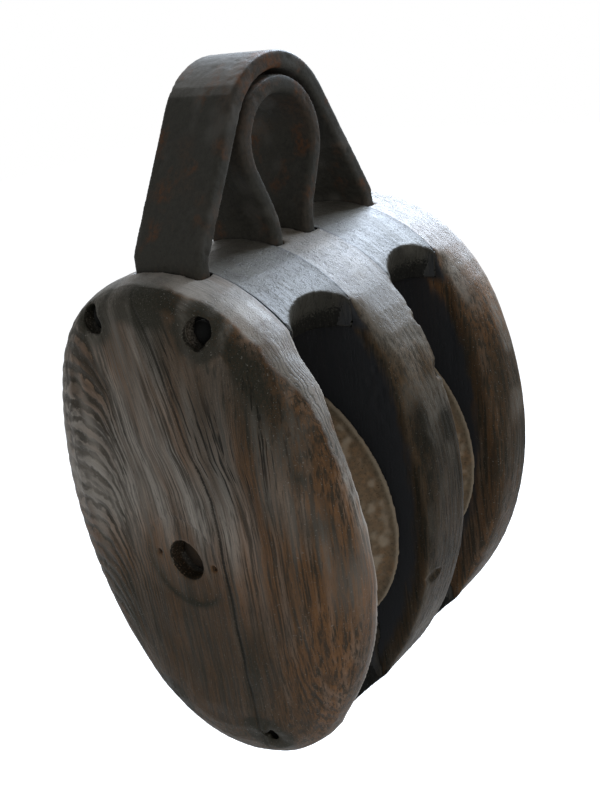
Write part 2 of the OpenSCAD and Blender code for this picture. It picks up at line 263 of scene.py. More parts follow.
def wood_tint(tree, made, grey, brown, line, grime):
    """The wood's colour: grey or brown, then its grain, dirt with painted shade, wear with a painted
    highlight, cracks, painted shade deep in the swallows, and seams with painted shade in holes and scoops,
    in turn.
    """
    def over(tint, share, top):
        return blend(tree, share, tint, top)

    patchy = cloud(tree, (0.06, 0.06, 0.035), detail=4)
    streaky = spread(tree, made.streak, 0.3, 0.7, -0.35, 0.35)
    warmth = plus(tree, attribute(tree, "warm"), streaky, clamp=True)
    light = blend(tree, warmth, shade(grey, BLEACHED_GREY), shade(brown, BLEACHED_BROWN))
    tint = blend(tree, warmth, grey, brown)
    tint = over(tint, spread(tree, patchy, 0.35, 0.7, 0.0, 0.3), line)
    tint = over(tint, spread(tree, made.streak, 0.48, 0.68, 0.0, 0.4), line)
    tint = over(tint, spread(tree, made.streak, 0.42, 0.3, 0.0, 0.25), light)
    tint = over(tint, times(tree, spread(tree, made.fibre, 0.47, 0.62, 0.0, 0.9), made.calm), line)
    tint = over(tint, times(tree, spread(tree, made.fibre, 0.45, 0.32, 0.0, 0.5), made.calm), light)
    uneven = spread(tree, made.streak, 0.3, 0.65, 0.55, 1.0)
    tint = over(tint, times(tree, made.lines, uneven, clamp=True), line)
    tint = over(tint, made.fine_lines, grime)
    tint = over(tint, times(tree, times(tree, made.pores, 0.8), made.calm), grime)
    # Dirt and painted shade
    tint = over(tint, made.soiled, grime)
    # Chafed pale wear, which along the front cheek's swallow edge is also a painted highlight
    fibrous = spread(tree, made.fibre, 0.35, 0.65, 0.4, 1.0)
    tint = over(tint, times(tree, attribute(tree, "worn"), fibrous, clamp=True), shade(grey, CHAFED))
    tint = over(tint, spread(tree, made.speck, 0.62, 0.72, 0.0, 0.3), shade(grey, DUSTY))
    tint = over(tint, times(tree, made.crack, 0.93), shade(grime, IN_A_CRACK))
    # Painted shade deep in the swallows
    tint = over(tint, attribute(tree, "deep"), DEEP)
    # Dark seams, and painted shade in the holes and at the foot of the scoops
    from_seam = plus(tree, attribute(tree, "seam"), spread(tree, made.speck, 0.3, 0.7, -0.12, 0.12))
    return over(tint, spread(tree, from_seam, 0.42, 0.2, 0.0, 0.9), shade(grime, IN_A_CRACK))


def wood_material(name, grey, brown, line, grime):
    """Weathered wood. The piece's attributes say where its rings, brown patches, grime, wear, painted shade
    and painted highlights are.
    """
    material, tree, shader = new_material(name)
    made = wood_patterns(tree)
    tree.links.new(wood_tint(tree, made, grey, brown, line, grime), shader.inputs["Base Color"])
    rough = plus(tree, spread(tree, made.skin, 0.35, 0.65, 0.42, 0.54), times(tree, made.soiled, 0.15))
    tree.links.new(rough, shader.inputs["Roughness"])
    shine = spread(tree, attribute(tree, "polish"), 0.0, 1.0, *WOOD_SHINE)
    tree.links.new(shine, shader.inputs["Specular IOR Level"])
    height = times(tree, times(tree, made.fibre, -0.5), made.calm)
    reliefs = [
        (made.pores, -0.5),
        (made.lines, -0.4),
        (made.fine_lines, -1.6),
        (made.crack, -2.5),
        (made.speck, 0.5),
        (made.skin, 0.3),
    ]
    for pattern, share in reliefs:
        height = plus(tree, height, times(tree, pattern, share))
    bump_onto(tree, shader, height, 0.7)
    return material


def iron_material(name, dark, rust, dust, rust_share, shine, rough=(0.5, 0.7), pits=0.35):
    """Old wrought or cast iron under a brown skin, with rust where the attribute or the noise says."""
    material, tree, shader = new_material(name)
    blotch = cloud(tree, (0.055, 0.055, 0.055), detail=5, rough=0.6)
    grain = cloud(tree, (0.45, 0.45, 0.45), detail=4)
    pit = cloud(tree, (1.3, 1.3, 1.3), detail=3)
    where = plus(tree, spread(tree, blotch, 0.52, 0.72), attribute(tree, "rust"), clamp=True)
    rusty = times(tree, where, spread(tree, grain, 0.35, 0.62, 0.25, 1.0))
    tint = blend(tree, spread(tree, grain, 0.3, 0.7), dark, shade(dark, 1.5))
    tint = blend(tree, times(tree, rusty, rust_share), tint, rust)
    tint = blend(tree, spread(tree, pit, 0.55, 0.75, 0.0, pits), tint, shade(dark, 0.3))
    tint = blend(tree, times(tree, attribute(tree, "worn"), 0.6, clamp=True), tint, dust)
    tree.links.new(tint, shader.inputs["Base Color"])
    tree.links.new(spread(tree, grain, 0.3, 0.7, *rough), shader.inputs["Roughness"])
    polished = spread(tree, attribute(tree, "polish"), 0.0, 1.0, shine, IRON_POLISHED)
    tree.links.new(polished, shader.inputs["Specular IOR Level"])
    bump_onto(tree, shader, plus(tree, times(tree, pit, 0.6), times(tree, grain, 0.8)), 0.6)
    return material


def bronze_material():
    """Dull bronze with patches of dark grease."""
    material, tree, shader = new_material("bush_bronze")
    stain = cloud(tree, (0.2, 0.2, 0.2), detail=4)
    tint = blend(tree, spread(tree, stain, 0.35, 0.65), colour(120, 92, 52), colour(52, 44, 34))
    tree.links.new(tint, shader.inputs["Base Color"])
    tree.links.new(spread(tree, stain, 0.3, 0.7, 0.3, 0.55), shader.inputs["Roughness"])
    shader.inputs["Metallic"].default_value = 0.8
    return material


CHEEK_WOOD = wood_material(
    "cheek_wood",
    grey=colour(151, 142, 131),
    brown=colour(131, 93, 61),
    line=colour(58, 51, 42),
    grime=colour(49, 47, 39),
)
LAYER_WOOD = wood_material(
    "layer_wood",
    grey=colour(120, 112, 101),
    brown=colour(107, 83, 58),
    line=colour(54, 48, 38),
    grime=colour(35, 33, 27),
)
FILLER_WOOD = wood_material(
    "filler_wood",
    grey=colour(92, 88, 79),
    brown=colour(76, 65, 51),
    line=colour(44, 40, 34),
    grime=colour(30, 29, 25),
)
STRAP_IRON = iron_material(
    "strap_iron",
    dark=colour(52, 50, 45),
    rust=colour(98, 64, 41),
    dust=colour(104, 100, 94),
    rust_share=0.8,
    shine=0.06,
)
SHEAVE_IRON = iron_material(
    "sheave_iron",
    dark=colour(98, 86, 70),
    rust=colour(133, 105, 78),
    dust=colour(170, 155, 134),
    rust_share=0.8,
    shine=0.05,
    rough=(0.6, 0.85),
    pits=0.75,
)
PIN_IRON = iron_material(
    "pin_iron",
    dark=colour(40, 35, 30),
    rust=colour(96, 72, 48),
    dust=colour(90, 76, 60),
    rust_share=0.8,
    shine=0.08,
)
RIVET_IRON = iron_material(
    "rivet_iron",
    dark=colour(19, 19, 18),
    rust=colour(34, 29, 24),
    dust=colour(32, 31, 29),
    rust_share=0.6,
    shine=0.04,
    rough=(0.7, 0.85),
)
BRONZE = bronze_material()


# Large factors that scatter neighbouring cells, and the bits of a number that are kept
CELL_FACTORS = (73856093, 19349663, 83492791)
SEED_FACTOR = 2654435761
MIX_FACTORS = (1274126177, 668265263)
KEPT_BITS = 0x7FFFFFFF


# Noise and shape helpers for meshes
def hashed(cell, seed):
    """A number from -1 to 1 for each cell of a lattice."""
    n = cell[:, 0] * CELL_FACTORS[0] ^ cell[:, 1] * CELL_FACTORS[1] ^ cell[:, 2] * CELL_FACTORS[2]
    n = n ^ (seed * SEED_FACTOR & KEPT_BITS)
    n = (n ^ (n >> 13)) * MIX_FACTORS[0] & KEPT_BITS
    n = (n ^ (n >> 16)) * MIX_FACTORS[1] & KEPT_BITS
    return (n ^ (n >> 15)) / (KEPT_BITS >> 1) - 1


def noise(p, size, seed, octaves=1):
    """Smooth noise from about -1 to 1 at points p, with lumps of the given size along each axis."""
    total = np.zeros(len(p))
    share = 1.0
    q = p / np.array(size, float)
    for octave in range(octaves):
        base = np.floor(q).astype(np.int64)
        t = q - base
        t = t * t * t * (t * (6 * t - 15) + 10)
        value = np.zeros(len(p))
        for corner in np.ndindex(2, 2, 2):
            weight = np.prod(np.where(corner, t, 1 - t), axis=1)
            value += weight * hashed(base + np.array(corner), seed + 17 * octave)
        total += share * value
        share /= 2
        q = q * 2.03
    return total


def soft(start, end, x):
    """0 before start, 1 past end, smooth between. Where start is the higher one, it falls as x grows."""
    t = np.clip((x - start) / (end - start), 0, 1)
    return t * t * (3 - 2 * t)


def bell(x, width):
    return np.exp(-((x / width) ** 2))


def spot(x, z, place, width, tall=1.0):
    """1 at a place (x, z), fading over a width along x and tall times that along z."""
    return bell(np.hypot(x - place[0], (z - place[1]) / tall), width)


def unit(x):
    return np.clip(x, 0, 1)


def points(o):
    """An object's vertices in millimetres from the pin."""
    co = np.empty(len(o.data.vertices) * 3, np.float32)
    o.data.vertices.foreach_get("co", co)
    return co.reshape(-1, 3).astype(float) / MM - PIN


def move(o, p):
    o.data.vertices.foreach_set("co", ((p + PIN) * MM).astype(np.float32).ravel())
    o.data.update()


def normals(o):
    n = np.empty(len(o.data.vertices) * 3, np.float32)
    o.data.vertex_normals.foreach_get("vector", n)
    return n.reshape(-1, 3).astype(float)


def paint(o, **values):
    """Stores one number per vertex under each name, for the materials."""
    for name, value in values.items():
        made = o.data.attributes.new(name, "FLOAT", "POINT")
        made.data.foreach_set("value", np.asarray(value, np.float32))


def relax(o, rounds, weight):
    """Moves each vertex towards its neighbours' middle. weight is one number or one per vertex."""
    ends = np.empty(len(o.data.edges) * 2, np.int32)
    o.data.edges.foreach_get("vertices", ends)
    a, b = ends.reshape(-1, 2).T
    p = points(o)
    count = len(p)
    degree = np.maximum(np.bincount(a, minlength=count) + np.bincount(b, minlength=count), 1)
    weight = np.broadcast_to(np.asarray(weight, float), (count,))
    for _ in range(rounds):
        for axis in range(3):
            along = p[:, axis]
            total = np.bincount(a, along[b], count) + np.bincount(b, along[a], count)
            p[:, axis] = along + weight * (total / degree - along)
    move(o, p)


def remeshed(node, name, voxel):
    """A copy of a CAD node's surface as an even mesh with cells of the given size."""
    o = bpy.data.objects.new(name, frame["nodes"][node].data.copy())
    bpy.context.scene.collection.objects.link(o)
    skin = o.modifiers.new("skin", "REMESH")
    skin.mode = "VOXEL"
    skin.voxel_size = voxel * COARSE * MM
    skin.use_smooth_shade = True
    made = bpy.data.meshes.new_from_object(o.evaluated_get(bpy.context.evaluated_depsgraph_get()))
    o.modifiers.clear()
    o.data = made
    o.data.materials.clear()
    return o


def cad_surface(node):
    cad = frame["nodes"][node].data
    return BVHTree.FromPolygons([v.co for v in cad.vertices], [tuple(f.vertices) for f in cad.polygons])


THIN_EDGE = 0.02
SHARP_ANGLE = 50
# How far inside a layer its outer surface is looked for, and how far off it may be there
JOINT_STEP = 2.5
JOINT_SLIP = 0.3


def merge_close(o, dist):
    """Joins vertices that lie closer than dist, and shades sharp corners as sharp."""
    merged = bmesh.new()
    merged.from_mesh(o.data)
    bmesh.ops.remove_doubles(merged, verts=merged.verts, dist=dist * MM)
    bmesh.ops.dissolve_degenerate(merged, edges=merged.edges, dist=THIN_EDGE * MM)
    merged.to_mesh(o.data)
    merged.free()
    o.data.set_sharp_from_angle(angle=math.radians(SHARP_ANGLE))


def sharpen_joints(o, node, planes, reach):
    """Brings edges blunted by the remeshing back out to the joint planes, so that joints are hairlines."""
    skin = cad_surface(node)
    p = points(o)
    rim = (edge_distance(p) < 3 * reach) & (np.abs(p[:, 0]) < JOINT_HALF)
    for plane in planes:
        inward = 1 if p[:, 1].mean() > plane else -1
        for i in np.nonzero(rim & (np.abs(p[:, 1] - plane) < reach))[0]:
            beside = Vector((p[i] + PIN + (0, JOINT_STEP * inward, 0)) * MM)
            place = skin.find_nearest(beside)[0]
            on_side = abs(place.y - beside.y) < JOINT_SLIP * MM
            if on_side and (place - beside).length < 1.3 * reach * MM:
                p[i] = (place.x / MM - PIN[0], plane, place.z / MM - PIN[2])
    move(o, p)
    merge_close(o, 0.4 * reach)


def near_cad(o, node, share):
    """Draws the vertices back towards the CAD node's surface by a share of the way."""
    skin = cad_surface(node)
    p = points(o)
    places = np.array([skin.find_nearest(Vector(q))[0] for q in (p + PIN) * MM]) / MM - PIN
    move(o, p + share * (places - p))


def edge_distance(p):
    """How far each point is inside the layer's outline, seen along the pin."""
    angle = np.arctan2(p[:, 2], p[:, 0])
    r = np.hypot(p[:, 0], p[:, 2])
    count = 360
    bins = np.floor((angle + np.pi) / (2 * np.pi) * count).astype(int) % count
    outline = np.zeros(count)
    np.maximum.at(outline, bins, r)
    middles = (np.arange(count) + 0.5) / count * 2 * np.pi - np.pi
    return np.interp(angle, middles, outline, period=2 * np.pi) - r


def chafe(p, gap, amount, reach):
    """Wears a layer's edge away beside a swallow, where the rope has rubbed. gap is the distance from its
    joint plane, amount the depth at the edge, and reach how far the wear runs from the plane."""
    x, z = p[:, 0], p[:, 2]
    near_plane = np.clip(1 - gap / reach, 0, 1) ** 2
    near_edge = np.clip(1 - edge_distance(p) / 22, 0, 1)
    beside_rope = soft(56, 66, np.abs(x)) * (0.2 + 0.8 * bell(z - 66, 58))
    inward = amount * near_plane * near_edge * beside_rope * (1 + 0.15 * noise(p, (14, 40, 14), 68, 2))
    far = np.hypot(x, z)
    p[:, 0] -= inward * x / far
    p[:, 2] -= inward * z / far


def dress(o, node, body, material):
    o.data.materials.append(material)
    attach(o, body)
    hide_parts(node)


# Wood
def line_gap(x, z, path):
    """Sideways distance from a line through (x, z) points, and how far along it each point lies, up to 1.
    The distance is positive on the left of a line that runs down."""
    path = np.array(path, float)
    best = np.full(len(x), 1e9)
    side = np.zeros(len(x))
    along = np.zeros(len(x))
    start = 0.0
    for (x0, z0), (x1, z1) in zip(path[:-1], path[1:]):
        dx, dz = x1 - x0, z1 - z0
        length = math.hypot(dx, dz)
        t = np.clip(((x - x0) * dx + (z - z0) * dz) / length**2, 0, 1)
        gap = np.hypot(x - x0 - t * dx, z - z0 - t * dz)
        nearer = gap < best
        sign = np.sign((x - x0) * dz - (z - z0) * dx)
        best = np.where(nearer, gap, best)
        side = np.where(nearer, gap * sign, side)
        along = np.where(nearer, start + t * length, along)
        start += length
    return side, along / start


def ring_strength(ring, seed):
    """Some rings show strongly and others hardly."""
    index = np.round(ring).astype(np.int64)
    return 0.5 + 0.5 * hashed(np.stack([index, index * 0, index * 0], axis=1), seed)


def ring_wave(ring):
    """1 in the middle of each dark ring, 0 between two."""
    return 0.5 + 0.5 * np.cos(2 * np.pi * ring)


# Lines on the front cheek's face as (x, z) points, and its knots with their radius
SHAKE = [
    (-7, 136), (-2, 126), (5, 105), (12, 77), (16, 58), (20, 50), (24, 37),
    (25.4, 22), (25, 8), (26, -13), (26.3, -34), (28, -63), (27, -95), (26, -114),
]
RIDGED_EDGE = [(60, 96), (68, 90), (80, 68)]
KNOTS = [((77, 34), 6), ((71.5, 56), 3.5)]
# The polished cap of the front cheek begins behind this line of (x, y) points on its crown
CAP_LINE = [(-60, -81), (14, -80), (34, -77), (52, -77.5), (63, -77), (73, -73), (82, -70)]
# A distance at which no seam or crack shows
OUT_OF_SIGHT = 9
# How far below the face a hole's wall begins to be painted dark as shade, and how far round the hole that
# reaches
HOLE_LIP = 0.8
# The front cheek's cells are small, because the camera sees it best
FRONT_CELL = 1.03
# How much the rope has worn off the front cheek's edge, where it has worn less, and how far in that runs
FRONT_WEAR = 7.6
LESS_WORN = 2.6
LESS_WORN_Z = 89
FRONT_WEAR_REACH = 16
# How far a rivet sink's rim is drawn in, and how deep the face lies there, at the shell's head and foot
CRUSHED_HEAD = (2.0, 1)
CRUSHED_FOOT = (4.4, 7)
# The ovals of the grain on the right shoulder: where their middle is, and how many times as tall as wide
OVAL_X = 74
OVAL_TALL = 4.3
PLATE_MARK_R = 23.5


def front_rings(p):
    """Rings of the front cheek, how far across its grain each point is, and how far from the ovals' middle.
    The rings run down beside the shake, turn level towards the left edge, and close into ovals on the right
    shoulder, where the domed face only grazes them."""
    x, _, z = p.T
    shake_x = np.interp(-z, [-q[1] for q in SHAKE], [q[0] for q in SHAKE])
    beside = x - (shake_x - 23) * soft(-50, 0, x) * soft(46, 8, x - shake_x)
    turn = 40.0
    level = turn * np.log(np.exp(z / turn) + np.exp(6 * (beside + 36.7) / turn))
    level += 2.5 * noise(p, (13, 13, 13), 9) * soft(0, -30, x) + 1.5 * noise(p, (30, 30, 60), 10)
    oval = np.hypot(x - OVAL_X, z / OVAL_TALL)
    oval += 1.5 * noise(p, (30, 30, 60), 5) + 0.5 * noise(p, (12, 12, 40), 6)
    right = soft(46, 62, x)
    ring = (1 - right) * (level / 9 - 77) - right * (oval / 2.8 + 9)
    return ring, level / 6, oval


def crush_sinks(p):
    """Draws the rims of the rivet sinks in, as the photograph shows them. Those at the foot, where the face
    is domed, are nearly closed."""
    for rx, rz in RIVET_PLACES:
        drawn_in, face_depth = CRUSHED_FOOT if rz < 0 else CRUSHED_HEAD
        far = np.hypot(p[:, 0] - rx, p[:, 2] - rz)
        share = soft(SINK_R + 4, SINK_R, far) * soft(SINK_R - 2.5, SINK_R - 1, far)
        share *= soft(FACE_Y + face_depth + 4, FACE_Y + face_depth, p[:, 1])
        share *= drawn_in * (1 + 0.5 * noise(p, (5, 5, 5), 67)) / np.maximum(far, 1)
        p[:, 0] -= share * (p[:, 0] - rx)
        p[:, 2] -= share * (p[:, 2] - rz)


def front_cheek_mesh():
    """The front cheek's mesh with its big wear. Also gives its points, and how far each one was from the
    nearest sink's middle before the rims were drawn in."""
    o = remeshed("cheek_front", "front_cheek_wood", FRONT_CELL)
    relax(o, 3, 0.5 * soft(0.5, 3.0, -JOINT_OUT - points(o)[:, 1]))
    sharpen_joints(o, "cheek_front", [-JOINT_OUT], FRONT_CELL * COARSE)
    p = points(o)
    from_sink = np.min([np.hypot(p[:, 0] - rx, p[:, 2] - rz) for rx, rz in RIVET_PLACES], axis=0)
    around_sinks = soft(SINK_R + 3.5, SINK_R + 1, from_sink) * soft(FACE_Y + 8, FACE_Y + 5, p[:, 1])
    relax(o, 8, 0.5 * around_sinks)
    p = points(o)
    wear = FRONT_WEAR - LESS_WORN * bell(p[:, 2] - LESS_WORN_Z, 11)
    chafe(p, -JOINT_OUT - p[:, 1], wear, FRONT_WEAR_REACH)
    crush_sinks(p)
    move(o, p)
    return o, p, from_sink


def front_regions(p, n):
    """Where each point of the front cheek lies: shares from 0 to 1, and distances in millimetres."""
    x, y, z = p.T
    at = SimpleNamespace()
    at.face = soft(0.25, 0.8, -n[:, 1])
    at.rim = 1 - at.face
    at.front = soft(0.12, 0.3, -n[:, 1])
    at.dome = at.front * soft(0.98, 0.85, -n[:, 1])
    at.crown = soft(0.35, 0.7, n[:, 2])
    at.left = soft(-12, -32, x)
    at.ridged = at.rim * bell(line_gap(x, z, RIDGED_EDGE)[0], 9)
    at.dent = spot(x, z, (-51, 82), 3.5, 1.5)
    at.cap_line = np.interp(x, *zip(*CAP_LINE))
    past_line = y - at.cap_line + 1.2 * noise(p, (6, 6, 6), 66, 2)
    at.cap = soft(-1.4, 1.4, past_line) * soft(0.08, 0.3, n[:, 2])
    at.from_joint = -JOINT_OUT - y
    side, along = line_gap(x, z, SHAKE)
    at.from_shake = side + 0.6 * noise(p, (30, 30, 14), 40)
    at.shake_open = np.sqrt(np.clip(4 * along * (1 - along), 0, 1)) * soft(-60, -70, y)
    at.shake_open *= 0.8 + 0.2 * soft(-0.3, 0.4, noise(p, (60, 60, 12), 41))
    return at


def front_figure(p, at, ring, oval):
    """How strongly the rings show: fully on the left, as ovals on the right, and hardly between."""
    x, _, z = p.T
    on_left = at.left * soft(-75, -15, z)
    ovals = soft(48, 60, x) * soft(7, 11, oval) * (0.3 * soft(60, 30, z) + 0.55 * soft(5, -30, z))
    figure = at.face * (0.15 + 1.7 * on_left + ovals)
    figure = figure * (1 - 0.85 * soft(78, 98, z) * soft(-12, 6, x)) + 0.3 * at.ridged
    figure *= 0.6 + 0.4 * soft(-0.5, 0.4, noise(p, (24, 24, 40), 12))
    return figure * (0.55 + 0.45 * ring_strength(ring, 7))


def front_relief(p, n, at, ring, figure):
    """How deep the weather has cut each point of the front cheek, in millimetres."""
    fibres = 1 + noise(p, (1.8, 1.8, 22), 21, 2)
    swells = 1 + noise(p, (42, 42, 60), 3, 2)
    grains = 1 + noise(p, (2.2, 2.2, 2.2), 8, 2)
    chafed_lip = soft(2.0, 0.0, at.from_joint) ** 2 * (0.6 + 0.4 * noise(p, (9, 9, 9), 50))
    depth = 0.22 * ring_wave(ring) ** 2 * figure
    depth += 0.10 * fibres * (0.4 + 0.6 * at.face) * (1 - 0.7 * at.crown)
    depth += 0.175 * swells + 0.06 * at.rim * grains
    depth += 0.45 * at.shake_open * bell(at.from_shake, 0.9)
    depth += 1.2 * at.dent + 0.8 * chafed_lip
    return np.where(n[:, 1] > 0.8, 0.0, depth) * soft(0.5, 2.5, at.from_joint)


def before_cap(p, at, width):
    """The strip of the right shoulder just in front of the polished cap."""
    x, y, z = p.T
    return soft(-width, -2, y - at.cap_line) * soft(32, 52, x) * soft(50, 70, z)


def front_warmth(p, at):
    """Where the front cheek is brown and not grey."""
    x, _, z = p.T
    left_of_shake = bell(at.from_shake - 7, 6) * soft(40, 85, z)
    shoulder = bell(at.face - 0.5, 0.4) * soft(40, 70, z) * soft(0, 30, x)
    warm = 0.15 + 0.6 * soft(30, 62, x) + 1.1 * soft(35, -25, z)
    warm += 0.5 * left_of_shake + 0.5 * spot(x, z, (-25, 95), 13, 1.4)
    warm += 0.6 * at.dome * soft(0, 30, x) + 0.8 * shoulder + 0.7 * before_cap(p, at, 7)
    warm += 0.3 * noise(p, (14, 26, 110), 60, 2)
    return warm * (1 - at.cap)


def front_grime(p, at):
    """Where dirt, stains and weather have darkened the front cheek, and where shade is painted: the strap's
    shadow on the crown and the insides of the rivet sinks.
    """
    x, y, z = p.T
    top = soft(88, 122, z) * soft(-60, -20, x) + 0.35 * soft(60, 100, z)
    grime = 0.34 * top * at.front * (1 + 0.4 * noise(p, (26, 26, 26), 61, 2))
    grime += 0.35 * at.dome * soft(80, 115, z)
    grime += 0.5 * at.face * spot(x, z, (42, 88), 22, 1.7)
    grime += 0.6 * at.face * soft(25, -35, z) * soft(75, 35, x)
    grime += 0.3 * at.face * soft(40, 65, x) * soft(50, 75, z)
    grime *= 1 - 0.8 * at.cap - 0.5 * (1 - at.cap) * before_cap(p, at, 6)

    # Painted shadow of the strap on the crown in front of its foot, with some dirt
    strap_foot = soft(20, 2, x) * soft(112, 122, z) * soft(-62, -72, y)
    grime += 0.8 * strap_foot + 0.3 * at.cap * soft(48, 64, x)
    grime += 0.35 * at.face * bell(at.from_shake + 8, 8) * soft(20, 50, z)
    grime += 0.25 * at.face * bell(at.from_shake - 20, 6) * soft(40, 80, z)
    grime += 0.25 * bell(at.from_shake, 1.6) * at.shake_open + 0.5 * at.dent
    grime += 0.1 * soft(-70, -118, z) + 0.6 * at.rim * soft(10, -40, z)
    grime += at.face * (0.32 * soft(44, 60, x) * soft(-30, 10, z) + 0.12 * soft(10, -30, z))
    grime += 0.06 * at.face * at.left * soft(70, 20, z)
    grime += 0.3 * soft(0.1, 0.9, noise(p, (13, 24, 120), 62, 2)) * (1 - at.cap)

    for place, radius in KNOTS:
        grime += 0.55 * spot(x, z, place, radius)
    # Stains round the rivet sinks, and painted shade inside them
    for rx, rz in RIVET_PLACES:
        far = np.hypot(x - rx, z - rz)
        stain = soft(SINK_R + 7, SINK_R, far + 1.5 * noise(p, (4, 4, 4), 64))
        grime += 0.8 * stain + 2.0 * soft(SINK_R, SINK_R - 2, far)
    # The round mark that the lost cover plate left
    from_pin = np.hypot(x, z)
    plate_edge = bell(from_pin - PLATE_MARK_R, 1.6) * soft(10, -14, z + 0.6 * x)
    return grime + 0.35 * plate_edge + 0.12 * soft(24, 22, from_pin)


def front_seams(p, n, at, from_sink):
    """Distance from the front cheek's nearest joint. The holes count as near, so that painted shade darkens
    them.
    """
    x, y, z = p.T
    in_swallow = soft(56, 60, np.abs(x)) + soft(0.6, 0.9, n[:, 1]) * soft(2, 4, edge_distance(p))
    seam = np.abs(at.from_joint) + OUT_OF_SIGHT * in_swallow
    below_face = y > FACE_Y + HOLE_LIP
    seam = np.where((from_sink < SINK_R + HOLE_LIP) & below_face, 0.32, seam)
    return np.where((np.hypot(x, z) < PIN_HOLE_R + HOLE_LIP) & below_face, 0.2, seam)


def front_wear(p, at):
    """Where the front cheek is chafed pale, with a painted highlight along its swallow edge."""
    x, _, z = p.T
    worn = 0.3 * noise(p, (8, 14, 60), 63, 2) * soft(-40, 20, z) + 0.35 * spot(x, z, (-58, 30), 18, 1.8)
    # A painted highlight along the swallow edge, where the rope has also chafed it
    return worn + 0.8 * bell(at.from_joint - 1.0, 1.0) * at.rim * soft(48, 58, x)


def front_checks(p, at):
    """Where short drying checks have opened on the front cheek's face."""
    x, _, z = p.T
    right_of_shake = bell(at.from_shake + 8, 7) * soft(25, 45, z) * soft(125, 105, z)
    checked = right_of_shake + spot(x, z, (50, 72), 20, 1.5) + spot(x, z, (38, 64), 14, 1.4)
    return unit(checked + 0.5 * spot(x, z, (-30, 70), 22)) * at.face


def front_cheek():
    """The layer that the photograph shows best, with its grain, shake, stains and wear, and painted shade
    and highlights.
    """
    o, p, from_sink = front_cheek_mesh()
    n = normals(o)
    at = front_regions(p, n)
    ring, flow, oval = front_rings(p)
    figure = front_figure(p, at, ring, oval)
    relief = front_relief(p, n, at, ring, figure)
    # On the cap the rings run level
    ring += at.cap * (p[:, 1] / 3.4 + noise(p, (9, 9, 30), 22) - ring)
    p -= n * relief[:, None]
    # Beside the front swallow the joint edge is bent outwards
    p[:, 1] -= 0.8 * soft(26, 52, p[:, 0]) * soft(40, 80, p[:, 2]) * soft(3, 0, at.from_joint)
    move(o, p)
    paint(
        o,
        ring=ring,
        flow=flow,
        figure=figure,
        fine=at.ridged + 0.5 * at.face * spot(p[:, 0], p[:, 2], (39, 76), 16, 1.5),
        warm=unit(front_warmth(p, at)),
        grime=unit(front_grime(p, at)),
        worn=unit(front_wear(p, at)),
        shake=at.from_shake,
        split=at.shake_open * at.face,
        checked=front_checks(p, at),
        seam=front_seams(p, n, at, from_sink),
        # Painted shade on the inner wall that faces the swallow
        deep=0.9 * soft(1.5, 0.2, at.from_joint) * soft(0.8, 0.95, n[:, 1]),
        polish=at.cap * soft(0.1, 0.4, n[:, 2]),
    )
    dress(o, "cheek_front", "block", CHEEK_WOOD)


# The shell's other layers. Chips are given as middle, size along each axis and depth
RING_STEP = 3.3
CHIPS = {
    "partition": [
        ((61, -16, 105), (3, 2, 4), 0.9),
        ((72, -16, 90), (2.5, 2, 3.5), 1.2),
        ((66, -16, 99), (2, 2, 2.5), 1.0),
        ((86, -11, -29), (4, 6, 2.5), 1.6),
        ((81, 14, 68), (3, 3, 4), 1.6),
        ((72, 15, 92), (2, 2, 4), 0.8),
    ],
    "cheek_back": [((62, 60, 106), (4, 3, 4), 1.0)],
}


def layer_rings(p, pith, seed):
    """Rings round a pith line along z, whose (x, y) is given, bent by slow noise."""
    r = np.hypot(p[:, 0] - pith[0], p[:, 1] - pith[1])
    r += 3.0 * noise(p, (46, 46, 120), seed) + 0.84 * noise(p, (15, 15, 46), seed + 1)
    return r / RING_STEP + 0.12 * noise(p, (9, 9, 120), seed + 1)


def layer_mesh(node, name, planes, voxel, rounds, wear, seed):
    """A layer's mesh with its edges beside the swallows rounded and worn away. Also gives each point's
    distance from a joint plane, and how much it belongs to such an edge."""
    o = remeshed(node, name, voxel)
    relax(o, 1, 0.5)
    sharpen_joints(o, node, planes, voxel * COARSE)
    p = points(o)
    near = np.min([np.abs(p[:, 1] - plane) for plane in planes], axis=0)
    uneven = 0.5 + 0.5 * soft(-0.3, 0.5, noise(p, (22, 22, 22), seed + 3))
    outside = soft(HALF_W - 26, HALF_W - 10, np.hypot(p[:, 0], p[:, 2] * 0.8))
    worn_edge = soft(7, 1, near) * uneven * outside * soft(56, 64, np.abs(p[:, 0]))
    relax(o, rounds, 0.5 * worn_edge)
    if wear:
        p = points(o)
        chafe(p, p[:, 1] - planes[0], wear, 2 * wear)
        move(o, p)
    return o, near, worn_edge


def layer_regions(p, n, near, worn_edge, is_filler):
    """Where each point of a layer lies, as shares from 0 to 1."""
    at = SimpleNamespace(near=near, worn_edge=worn_edge, inset=edge_distance(p))
    at.open_side = soft(0.9, 0.5, np.abs(n[:, 1]))
    at.crown = soft(0.45, 0.8, n[:, 2])
    facing_y = soft(0.6, 0.9, np.abs(n[:, 1]))
    at.wall = facing_y * soft(8, 4, near)
    at.outer_face = facing_y * soft(12, 20, near)
    at.scoop = soft(70, 60, np.abs(p[:, 0])) * (1 - at.crown) * at.open_side * is_filler
    return at


